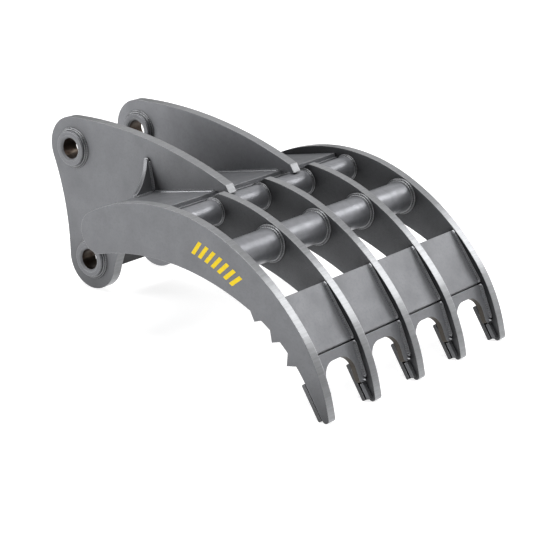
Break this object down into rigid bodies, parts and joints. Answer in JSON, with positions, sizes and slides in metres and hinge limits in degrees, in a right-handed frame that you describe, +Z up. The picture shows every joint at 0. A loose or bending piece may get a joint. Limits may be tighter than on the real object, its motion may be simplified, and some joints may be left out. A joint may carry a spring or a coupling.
{
  "type": "excavator rake",
  "caption": "Welded excavator rake: curved steel tines joined by tubes and plates, with two pin ears.",
  "frame": {"origin": "on the axis of the upper pin, half way between the ears", "axes": "+X from the pins to the tine tips, +Y along the pin axes, +Z up as it rests on its tips and ears"},
  "size_m": [1.3365, 0.844, 0.5461],
  "materials": {
    "grey_paint": "satin",
    "weld_bead": "satin",
    "wear_steel": "matte",
    "bush_steel": "satin"
  },
  "bodies": {
    "root": {"right_ear": "grey_paint", "left_ear": "grey_paint", "right_upper_boss": "grey_paint", "left_upper_boss": "grey_paint", "right_lower_boss": "grey_paint", "left_lower_boss": "grey_paint", "right_upper_bush": "bush_steel", "left_upper_bush": "bush_steel", "right_lower_bush": "bush_steel", "left_lower_bush": "bush_steel", "deck_plate": "grey_paint", "deck_bar": "grey_paint", "cross_plate": "grey_paint", "right_gusset": "grey_paint", "left_gusset": "grey_paint", "tine_1": "grey_paint", "tine_2": "grey_paint", "tine_3": "grey_paint", "tine_4": "grey_paint", "tine_5": "grey_paint", "rear_tube_1": "grey_paint", "rear_tube_2": "grey_paint", "rear_tube_3": "grey_paint", "rear_tube_4": "grey_paint", "front_tube_1": "grey_paint", "front_tube_2": "grey_paint", "front_tube_3": "grey_paint", "front_tube_4": "grey_paint", "upper_plate_1": "grey_paint", "upper_plate_2": "grey_paint", "upper_plate_3": "grey_paint", "upper_plate_4": "grey_paint", "arch_plate_1": "grey_paint", "arch_plate_2": "grey_paint", "arch_plate_3": "grey_paint", "arch_plate_4": "grey_paint", "wear_strip_1": "wear_steel", "wear_strip_2": "wear_steel", "wear_strip_3": "wear_steel", "wear_strip_4": "wear_steel", "wear_strip_5": "wear_steel", "tip_cheeks_1": "wear_steel", "tip_cheeks_2": "wear_steel", "tip_cheeks_3": "wear_steel", "tip_cheeks_4": "wear_steel", "tip_cheeks_5": "wear_steel", "boss_welds": "weld_bead", "rear_tube_welds": "weld_bead", "front_tube_welds": "weld_bead", "ear_welds": "weld_bead", "gusset_welds": "weld_bead", "upper_plate_welds": "weld_bead", "arch_plate_welds": "weld_bead"}
  },
  "joints": []
}
